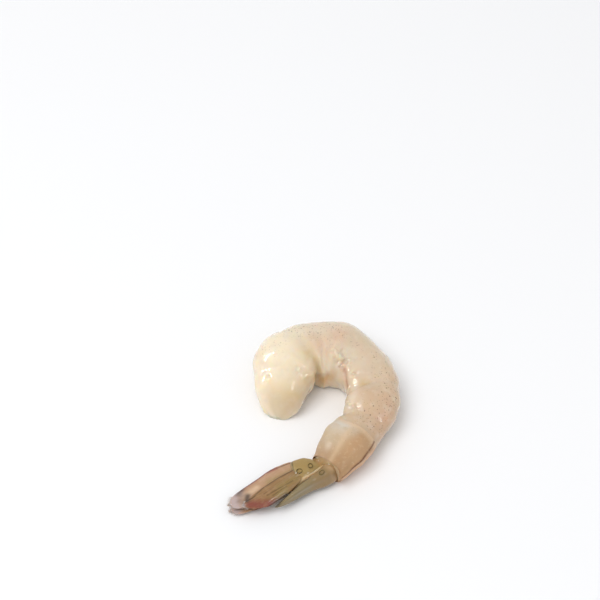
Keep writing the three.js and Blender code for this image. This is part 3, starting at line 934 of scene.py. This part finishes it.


# the spike's dark line is painted shadow along the gap to the inner blade
telson_shell = pigmented_shell("grey_olive_telson", "8c7a56", [
    ("tan", "94764a", 0.9), ("under_rim", "be9a70", 0.8), ("line", "33260f", 1.0),
], (1.8, "7d7050", 0.5, 0.75, 0.5))
base_shell = pigmented_shell("olive_blade_base", "a0854f", [
    ("under_rim", "be9a70", 0.8), ("line", "4a3c1c", 0.8),
], (1.5, "b39a62", 0.5, 0.75, 0.5))
outer_shell = pigmented_shell("red_edged_blade", "b6906f", [
    ("olive", "a08a58", 0.8), ("pale", "d6b696", 0.9), ("red", "9c4238", 0.9), ("line", "4c3226", 0.85),
    ("lilac", "bdaaa8", 0.95), ("dark", "40322c", 0.95),
], (1.8, "c8a68c", 0.5, 0.75, 0.4))
inner_shell = pigmented_shell("pink_edged_blade", "957046", [
    ("olive", "8f7a46", 0.8), ("red", "854336", 0.95), ("line", "423118", 0.85),
    ("lilac", "bdaaa8", 0.9), ("dark", "40322c", 0.95),
], (1.8, "ab8a62", 0.5, 0.75, 0.5))

# %% [markdown]
# Spike, bases and the web between them are sticks with blunt ends. Each is
# given by a short table: at some stations along the fan, how far its middle is
# towards the back and to the side, and half its height and width there.

# %% Sticks along the fan
BLUNT_STEPS = np.array([0, 0.08, 0.3, 0.65])  # where the rings of a rounded end stand
ring_turns = np.linspace(0, 2 * math.pi, 64, endpoint=False)[None, :]


def blunt_rows(start, end, count, inset):
    """Stations for a stick, close together at both ends, and the size of each ring there."""
    ends = inset * BLUNT_STEPS
    between = np.linspace(start + inset, end - inset, count)
    stations = np.concatenate([start + ends, between, end - ends[::-1]])
    rounding = np.maximum(np.sqrt(1 - (1 - BLUNT_STEPS) ** 2), POINT_SIZE)
    sizes = np.concatenate([rounding, np.ones(count), rounding[::-1]])
    return stations[:, None], sizes[:, None]


def stick(measures, count, inset, powers=(1.0, 1.0), groove=0.0):
    """How far along the fan, to the back and to the side a stick's points are, and flat pairs for strokes."""
    stations = measures["along"]
    rows, size = blunt_rows(stations[0], stations[-1], count, inset)
    value = {key: through(stations, heights, rows) for key, heights in measures.items() if key != "along"}
    dent = groove * bump(np.arccos(np.cos(ring_turns)), 0, 0.45) * smooth(value["half"], 0.3, 1.2)
    back = value["middle"] + size * (value["half"] * signed_power(np.cos(ring_turns), powers[0]) - dent)
    side = value.get("side", 0) + size * value["half_width"] * signed_power(np.sin(ring_turns), powers[1])
    return rows, back, side, np.stack(np.broadcast_arrays(rows, back), axis=-1)


# %% Telson
TELSON = {
    "along": [-0.6, 0.4, 2.2, 5, 9, 12.7, 15.4, 16.8],
    "middle": [1.8, 1.75, 1.55, 1.5, 2.75, 4.25, 5.1, 5.4],
    "half": [1.9, 2.2, 1.9, 1.45, 1.2, 0.8, 0.4, 0.15],
    "half_width": [2.4, 2.8, 2.8, 2.4, 1.9, 1.3, 0.7, 0.2],
}
TELSON_LINE = [(2.1, 0), (8.9, 1.75), (12.7, 3.6), (16.5, 5.6)]  # along and towards the back; this line is painted shadow in the gap to the inner blade

rows, back, side, flat = stick(TELSON, count=130, inset=0.3, powers=(0.85, 0.9), groove=0.3)
telson = loft("telson_spike", placed(BODY_END + rows, back, side), telson_shell, {
    # painted shadow along the gap between the spike and the inner blade
    "line": near(flat, TELSON_LINE, 0.35) * (side > 0) * smooth(rows, 4, 9),
    "tan": 1 - smooth(rows, 3, 8),
    "under_rim": 1 - smooth(rows, 0.4, 2.2),
})
hand_over(telson, "telson")

# %% Blade bases
PROTOPOD = {
    "along": [-0.9, 0.4, 2.2, 4.5, 6.8, 8.4, 9.4],
    "middle": [-2.3, -2.45, -2.7, -2.8, -2.8, -2.75, -2.7],
    "half": [1.9, 2.1, 2.5, 3.0, 3.25, 3.3, 2.9],
    "side": [1.3, 1.4, 1.7, 1.8, 1.7, 1.6, 1.5],
    "half_width": [1.0, 1.2, 1.5, 1.6, 1.5, 1.3, 1.0],
}
BASE_RIM = [(8.6, -5.5), (9.2, -2.5), (8.6, 0.2)]
SLEEVE_WALL_HEIGHT = 0.85  # the lower base starts on top of the sleeve's wall and then comes down

for place, up in (("upper", 1), ("lower", -1)):
    rows, back, side, flat = stick(PROTOPOD, count=90, inset=0.5)
    points = placed(BODY_END + rows, back, up * side)
    points[..., 2] = np.maximum(points[..., 2], SLEEVE_WALL_HEIGHT * (1 - smooth(rows, 0.6, 2.4)))
    base = loft(f"blade_base_{place}", points, base_shell, {
        "line": near(flat, BASE_RIM, 0.22),
        "under_rim": 1 - smooth(rows, 0.6, 2.6),
    })
    hand_over(base, f"protopod_{place}")

# %% [markdown]
# ## The blades, grown by a rule
#
# All four blades are one shape with other sizes: a long leaf, thick as a
# fingernail, a little arched, with a rib down the middle and fine veins beside
# it. That is a rule, so Geometry Nodes make it. The tree wraps a grid of unit
# size round into a flat closed leaf. The steps of the arithmetic stand in a
# table, with a name for each result, and the nodes are made from it. The leaf
# comes out flat, along X; afterwards its points are laid on the bent fan.

# %% The arithmetic of a blade
BLADE_SIZES = [
    "From", "Length", "Half Width", "Middle From", "Middle To", "Shift", "Side At Base", "Side At Tip",
    "Arch To Belly", "Arch To Back", "Thickness", "Rib Height", "Vein Spacing", "Vein Height",
]
BLADE_STEPS = [  # name of the result, what is done, and to what
    ("turn", "MULTIPLY", "grid y", 2 * math.pi),
    ("across", "COSINE", "turn"),
    ("up", "SINE", "turn"),
    ("from end", "PINGPONG", "share", 0.5),
    ("end share", "MULTIPLY", "from end", 90.0),
    ("end size", "MINIMUM", "end share", 1.0),
    ("size", "SQRT", "end size"),
    ("half", "MULTIPLY", "half curve", "Half Width"),
    ("full offset", "MULTIPLY", "half", "across"),
    ("offset", "MULTIPLY", "full offset", "size"),
    ("middle range", "SUBTRACT", "Middle To", "Middle From"),
    ("middle", "MULTIPLY_ADD", "middle curve", "middle range", "Middle From"),
    ("shift share", "MULTIPLY", "share", 2.0),
    ("shift limit", "MINIMUM", "shift share", 1.0),
    ("shift", "SMOOTH_MIN", "shift limit", 1.0, 0.1),
    ("shifted", "MULTIPLY_ADD", "shift", "Shift", "middle"),
    ("back", "ADD", "shifted", "offset"),
    ("up size", "ABSOLUTE", "up"),
    ("up sign", "SIGN", "up"),
    ("round", "POWER", "up size", 0.6),
    ("half thick", "MULTIPLY", "Thickness", 0.5),
    ("thick", "MULTIPLY", "round", "half thick"),
    ("wall", "MULTIPLY", "thick", "up sign"),
    ("outer", "GREATER_THAN", "up", 0.01),
    ("rib at", "DIVIDE", "across", 0.16),
    ("rib square", "MULTIPLY", "rib at", "rib at"),
    ("rib fall", "MULTIPLY", "rib square", -1.0),
    ("rib form", "EXPONENT", "rib fall"),
    ("to tip", "SUBTRACT", 1.0, "share"),
    ("rib at base", "MULTIPLY", "rib form", "to tip"),
    ("rib", "MULTIPLY", "rib at base", "Rib Height"),
    ("vein at", "DIVIDE", "offset", "Vein Spacing"),
    ("vein turn", "MULTIPLY", "vein at", 2 * math.pi),
    ("vein wave", "SINE", "vein turn"),
    ("vein", "MULTIPLY", "vein wave", "Vein Height"),
    ("drawn", "ADD", "rib", "vein"),
    ("on outer", "MULTIPLY", "drawn", "outer"),
    ("relief", "MULTIPLY", "on outer", "up size"),
    ("raised", "ADD", "wall", "relief"),
    ("height", "MULTIPLY", "raised", "size"),
    ("to back", "GREATER_THAN", "offset", 0.0),
    ("arch range", "SUBTRACT", "Arch To Back", "Arch To Belly"),
    ("arch", "MULTIPLY_ADD", "to back", "arch range", "Arch To Belly"),
    ("square", "MULTIPLY", "offset", "offset"),
    ("bow", "MULTIPLY", "square", "arch"),
    ("side range", "SUBTRACT", "Side At Tip", "Side At Base"),
    ("side line", "MULTIPLY_ADD", "share", "side range", "Side At Base"),
    ("arched", "SUBTRACT", "side line", "bow"),
    ("side", "ADD", "arched", "height"),
    ("along", "MULTIPLY_ADD", "share", "Length", "From"),
]
print("steps of arithmetic in a blade:", len(BLADE_STEPS))


# %% The blade tree
CURVE_POINTS = 21  # how many heights of its outline a blade is given
GRID_ALONG, GRID_AROUND = 200, 109


def blade_tree(name, along, middle, half):
    """A Geometry Nodes tree for blades of one outline. Its inputs are their sizes in millimetres."""
    tree, given = new_tree(name, BLADE_SIZES, takes_mesh=False)
    grid = add_node(tree, "GeometryNodeMeshGrid", {
        "Size X": 1.0, "Size Y": 1.0, "Vertices X": GRID_ALONG, "Vertices Y": GRID_AROUND})
    position = add_node(tree, "GeometryNodeInputPosition").outputs[0]
    place = add_node(tree, "ShaderNodeSeparateXYZ", {0: position})
    value = {size: given.outputs[size] for size in BLADE_SIZES}
    value["grid y"] = place.outputs[1]
    share = add_node(tree, "ShaderNodeMath", {0: place.outputs[0], 1: 0.5}, operation="ADD")
    value["share"] = share.outputs[0]
    for key, heights, low in (("middle curve", middle, min(middle)), ("half curve", half, 0.0)):
        curve = add_node(tree, "ShaderNodeFloatCurve", {"Factor": 1.0, "Value": value["share"]})
        dots = curve.mapping.curves[0].points
        for at in np.linspace(0, 1, CURVE_POINTS):
            height = float(through(along, heights, mixed(along[0], along[-1], at)))
            height = (height - low) / (max(heights) - low)
            if at in (0, 1):
                dots[0 if at == 0 else len(dots) - 1].location = (at, height)
            else:
                dots.new(at, height)
        curve.mapping.update()
        value[key] = curve.outputs[0]
    for key, operation, *terms in BLADE_STEPS:
        inputs = {i: value[term] if isinstance(term, str) else term for i, term in enumerate(terms)}
        value[key] = add_node(tree, "ShaderNodeMath", inputs, operation=operation).outputs[0]
    point = add_node(tree, "ShaderNodeCombineXYZ", {0: value["along"], 1: value["back"], 2: value["side"]})
    leaf = add_node(tree, "GeometryNodeSetPosition", {
        "Geometry": grid.outputs[0], "Position": point.outputs[0]})
    closed = add_node(tree, "GeometryNodeMergeByDistance", {"Geometry": leaf.outputs[0], "Distance": 0.002})
    smoothed = add_node(tree, "GeometryNodeSetShadeSmooth", {"Geometry": closed.outputs[0]})
    dress(tree, smoothed.outputs[0], given)
    return tree


# %% [markdown]
# Each blade's outline is a table again. Its stains are strokes on the flat
# leaf: veins, the red edge, and the clear grey tip with its dark blots. The
# lower blades are the mirror of the upper ones, shifted a little so that their
# edges peep out, as on any fan that isn't quite shut.

# %% Four blades
BLADES = {
    "outer": {
        "along": [8.3, 10, 14.6, 19.8, 24.8, 26.7, 27.5],
        "middle": [-4.1, -3.95, -3.1, -1.15, -0.1, 0.2, 0.3],
        "half": [2.3, 2.9, 3.35, 3.45, 2.65, 1.7, 0.5],
        "sizes": {"Side At Base": 1.3, "Side At Tip": 0.8, "Arch To Belly": 0.04, "Arch To Back": 0.04,
                  "Thickness": 0.5, "Rib Height": 0.12, "Vein Spacing": 0.9, "Vein Height": 0.03},
        "lower_shift": 0.8, "node": "exopod", "slot": "outer_blade", "material": outer_shell,
    },
    "inner": {
        "along": [8.3, 9.6, 13.6, 18.0, 21.7, 23.6, 24.4],
        "middle": [-0.9, -0.75, 0.55, 1.95, 2.6, 2.7, 2.6],
        "half": [1.7, 2.2, 2.9, 2.9, 2.0, 1.1, 0.3],
        "sizes": {"Side At Base": 2.3, "Side At Tip": 1.5, "Arch To Belly": 0.01, "Arch To Back": 0.14,
                  "Thickness": 0.5, "Rib Height": 0.25, "Vein Spacing": 0.8, "Vein Height": 0.04},
        "lower_shift": -1.4, "node": "endopod", "slot": "inner_blade", "material": inner_shell,
    },
}
BLADE_STAINS = {
    "outer": {
        "line": [([(8.5, -6.2), (14.6, -6.0), (19.8, -4.3), (24, -2.9)], 0.22, 0.9)],
        "red": [([(13, -6.1), (16, -5.8), (20, -4.4), (24, -3.0)], 0.6, 0.9)],
        "pale": [([(19.6, -1.8), (21.6, -0.9), (23.5, -0.2)], 0.9, 1.0)],
        "lilac": [([(25.0, -2), (26.5, 0), (26.5, 2.2)], 1.7, 1.0)],
        "dark": [([(22.5, -0.2), (23.3, 1.4)], 0.9, 0.9), ([(23.2, -3.0), (24.6, -1.9)], 0.8, 0.8),
                 ([(24.2, -0.8), (25, 0.4)], 0.9, 0.35)],
        "olive": [([(9, -3.2), (16, -2.2)], 1.0, 0.8)],
    },
    "inner": {
        "line": [([(9.4, -2.6), (13.6, -1.8), (18.5, -0.3), (21.7, 1.5), (23.7, 1.9)], 0.2, 0.9),
                 ([(10.4, 0.6), (14, 1.5), (18, 2.4)], 0.14, 0.7), ([(12.4, 1.6), (16.5, 2.9)], 0.14, 0.6),
                 ([(15.5, 0.6), (18.6, 1.6)], 0.14, 0.6)],
        "red": [([(17, 4.8), (20, 4.4), (23.0, 3.2)], 1.5, 1.0)],
        "lilac": [([(24.5, 2.6), (24.6, 2.7)], 0.5, 0.8)],
        # dark blots at the tip, and painted shadow along the edge that lies under the spike
        "dark": [([(23.0, 0.9), (23.3, 1.6)], 0.7, 0.9), ([(13.0, 3.4), (15.5, 4.3), (18, 5.2)], 0.45, 0.9)],
        "olive": [([(9, 0), (14, 1.2)], 1.4, 0.8), ([(13, 2.8), (18, 3.6)], 1.0, 0.9)],
    },
}
ROOT_IN_BASE = 0.5  # how far a blade starts inside its base

for kind, blade in BLADES.items():
    tree = blade_tree(f"{kind}_blade", blade["along"], blade["middle"], blade["half"])
    for place, up in (("upper", 1), ("lower", -1)):
        mesh = grown(tree, {
            "From": blade["along"][0] - ROOT_IN_BASE,
            "Length": blade["along"][-1] - blade["along"][0] + ROOT_IN_BASE,
            "Half Width": max(blade["half"]),
            "Middle From": min(blade["middle"]), "Middle To": max(blade["middle"]),
            "Shift": blade["lower_shift"] if up < 0 else 0.0,
            "Material": blade["material"],
            **blade["sizes"],
        })
        leaf = np.empty(len(mesh.vertices) * 3)
        mesh.vertices.foreach_get("co", leaf)
        along, back, side = leaf.reshape(-1, 3).T
        flat = np.stack([along, back], axis=-1)
        marked(mesh, {name: np.clip(painted(flat, strokes), 0, 1)
                      for name, strokes in BLADE_STAINS[kind].items()})
        mesh.vertices.foreach_set("co", (placed(BODY_END + along, back, up * side) * MM).ravel())
        mesh.update()
        piece = outward(shown(f"{kind}_blade_{place}", mesh))
        hand_over(piece, f"{blade['node']}_{place}")

# %% [markdown]
# ## Bristles
#
# The tips of the blades carry a fringe of fine bristles, about a millimetre
# long. Hair curves could stand there, but the export keeps only meshes. So a
# tree of nodes sets one thin cone on each point of the tip's edge, turned
# outwards, each of its own length. Real ones are finer and many more; these are
# as coarse as they need to be to show.

# %% The bristle tree
def bristle_tree():
    """One cone on each point of a mesh, turned to the point's own `direction`."""
    tree, given = new_tree("bristle_fringe", ["Length", "Width", "Shortest", "Seed"])
    metres = {}
    for size in ("Length", "Width"):
        scaled = add_node(tree, "ShaderNodeMath", {0: given.outputs[size], 1: MM}, operation="MULTIPLY")
        metres[size] = scaled.outputs[0]
    cone = add_node(tree, "GeometryNodeMeshCone", {
        "Vertices": 5, "Radius Top": 0.0, "Radius Bottom": metres["Width"], "Depth": metres["Length"]})
    points = add_node(tree, "GeometryNodeMeshToPoints", {"Mesh": given.outputs["Geometry"]})
    direction = add_node(tree, "GeometryNodeInputNamedAttribute", {"Name": "direction"},
                         data_type="FLOAT_VECTOR")
    turn = add_node(tree, "FunctionNodeAlignRotationToVector", {"Vector": direction.outputs[0]})
    length = add_node(tree, "FunctionNodeRandomValue", {
        "Min": given.outputs["Shortest"], "Max": 1.0, "Seed": given.outputs["Seed"]}, data_type="FLOAT")
    scale = add_node(tree, "ShaderNodeCombineXYZ", {0: 1.0, 1: 1.0, 2: length.outputs["Value"]})
    fringe = add_node(tree, "GeometryNodeInstanceOnPoints", {
        "Points": points.outputs[0], "Instance": cone.outputs[0], "Rotation": turn.outputs[0],
        "Scale": scale.outputs[0]})
    dress(tree, fringe.outputs[0], given)
    return tree


bristle = wet_tissue(  # clear chitin hair, which looks pale grey
    "clear_grey_bristle", "b9a9a2", depth_mm=0.3, scatter=0.3, roughness=0.4, coat=0.3,
    clouds=[(0.8, "8d7a70", 0.45, 0.7, 0.6)])

# %% Bristle fringe
BRISTLE = {"Length": 1.2, "Width": 0.045, "Shortest": 0.6, "Seed": 5.0}
BRISTLES_IN_FRINGE = 46
FRINGE_HALF_ANGLE = 62  # degrees to each side of a blade's tip
FRINGE_REACH = {"outer": 2.6, "inner": 1.8}  # how far back along the edge it would be at 90 degrees
ROOT_DEPTH, END_REACH = 0.3, 0.7  # where a bristle starts in the blade and where it points to
SPREAD = 0.5  # how far the outermost bristles lean outwards
MIDDLE_SHARE = 0.45  # where on the way from root to end a cone's middle is

fringe_tree = bristle_tree()
turn = np.radians(np.linspace(-FRINGE_HALF_ANGLE, FRINGE_HALF_ANGLE, BRISTLES_IN_FRINGE))
for kind, blade in BLADES.items():
    stations, sizes = blade["along"], blade["sizes"]
    along = stations[-1] - FRINGE_REACH[kind] * (1 - np.cos(turn))
    middle, half = (through(stations, blade[key], along) for key in ("middle", "half"))
    share = (along - stations[0]) / (stations[-1] - stations[0])
    side = mixed(sizes["Side At Base"], sizes["Side At Tip"], share)
    side = side - sizes["Arch To Back"] * (half * np.sin(turn)) ** 2 * (turn > 0)
    for place, up in (("upper", 1), ("lower", -1)):
        back = middle + (blade["lower_shift"] if up < 0 else 0) + half * np.sin(turn) * 0.98
        root = placed(BODY_END + along - ROOT_DEPTH, back, up * side)
        end = placed(BODY_END + along + END_REACH, back + SPREAD * np.sin(turn), up * side)
        roots = bpy.data.meshes.new("roots")
        roots.from_pydata((mixed(root, end, MIDDLE_SHARE) * MM).tolist(), [], [])
        roots.attributes.new("direction", "FLOAT_VECTOR", "POINT").data.foreach_set(
            "vector", (end - root).ravel())
        fringe_mesh = grown(fringe_tree, {**BRISTLE, "Material": bristle}, roots)
        hand_over(shown(f"{kind}_bristles_{place}", fringe_mesh))

# %% [markdown]
# ## Soft skin and joints
#
# Between the shell and the fan the animal is closed by soft clear skin. It
# bulges a little out of the sleeve, and a web of it ties the bases to the
# telson. It is thin, wetter than the shell and shows the flesh's tan through
# it, so it has the deepest scattering after the flesh and a full coat of water.

# %% Joint skin and web
# a painted highlight is glazed over this skin: a pale streak where the web shines
skin = wet_tissue(
    "soft_joint_skin", "bf9f74", depth_mm=1.5, scatter=0.6, roughness=0.25, coat=1.0,
    clouds=[(1.2, "cfb58c", 0.45, 0.7, 0.7)], glaze=[("painted_wet_highlight", "ded2b8", 0.4)], ripples=[(0.9, 0.08)])
JOINT_SKIN = {"from": 70.6, "to": 73.1, "inset": 0.5}
WEB = {
    "along": [0.2, 2.5, 5, 7.5, 9.5, 11.5],
    "middle": [0.0, -0.05, 0.1, 0.5, 1.0, 1.8],
    "half": [1.1, 1.0, 0.9, 0.9, 0.7, 0.3],
    "half_width": [2.2, 2.4, 2.4, 2.2, 1.6, 0.8],
}
WEB_FLOOR = 0.3  # how high over the board the web stays

share = np.linspace(0, 1, 40)[:, None]
skin_turns = np.linspace(0, 2 * math.pi, 72, endpoint=False)[None, :]
along = mixed(JOINT_SKIN["from"], JOINT_SKIN["to"], share)
in_body = np.minimum(along, BODY_END)
bulge = np.sqrt(np.clip(1 - smooth(share, 0.35, 1.0) ** 2, POINT_SIZE**2, 1))[..., None]
spokes = body_point(in_body, skin_turns, JOINT_SKIN["inset"]) - placed(in_body, 0.0, 0.0)
hand_over(loft("joint_skin", placed(along, 0.0, 0.0) + spokes * bulge, skin, {"painted_wet_highlight": 0.0}))

rows, back, side, flat = stick(WEB, count=60, inset=0.3)
points = placed(BODY_END + rows, back, side)
points[..., 2] = np.maximum(points[..., 2], WEB_FLOOR)
# the painted highlight: a pale streak along the upper side of the web
hand_over(loft("fan_web", points, skin, {"painted_wet_highlight": near(flat, [(2.0, -0.1), (5.5, 0.2)], 0.16) * (side > 0)}))

# %% [markdown]
# Where the hard pieces of the fan meet, small knobs of dark chitin show. On the
# real shrimp they are curly. Here they are three plain rings of bent wire that
# lie on the surface, a little tilted with it: a torus could be added and turned
# by hand, but rings of points can be laid on the bent fan like everything else.

# %% Hinge rings
hinge = wet_tissue(  # dark wet horn that lets in little light
    "dark_hinge_chitin", "5e4c22", depth_mm=0.4, scatter=0.2, roughness=0.35, coat=0.8,
    clouds=[(0.6, "8c763e", 0.4, 0.7, 0.7)])
HINGES = [  # along the fan, towards the back, to the side, radius
    (7.9, -1.3, 2.95, 0.74),
    (4.4, -1.5, 3.34, 0.72),
    (2.9, 1.9, 2.62, 0.62),
]
HINGE_WIRE = 0.16  # radius of the wire
HINGE_SQUASH, HINGE_TILT = 0.85, 0.2
round_ring = np.linspace(0, 2 * math.pi, 48, endpoint=False)[:, None]
round_wire = np.linspace(0, 2 * math.pi, 12, endpoint=False)[None, :]
for number, (along, back, side, radius) in enumerate(HINGES):
    out = radius + HINGE_WIRE * np.cos(round_wire)
    across = out * np.sin(round_ring)
    points = placed(BODY_END + along + out * np.cos(round_ring), back + HINGE_SQUASH * across,
                    side + HINGE_WIRE * np.sin(round_wire) - HINGE_TILT * across)
    hand_over(tube(f"hinge_ring_{number}", points, hinge))
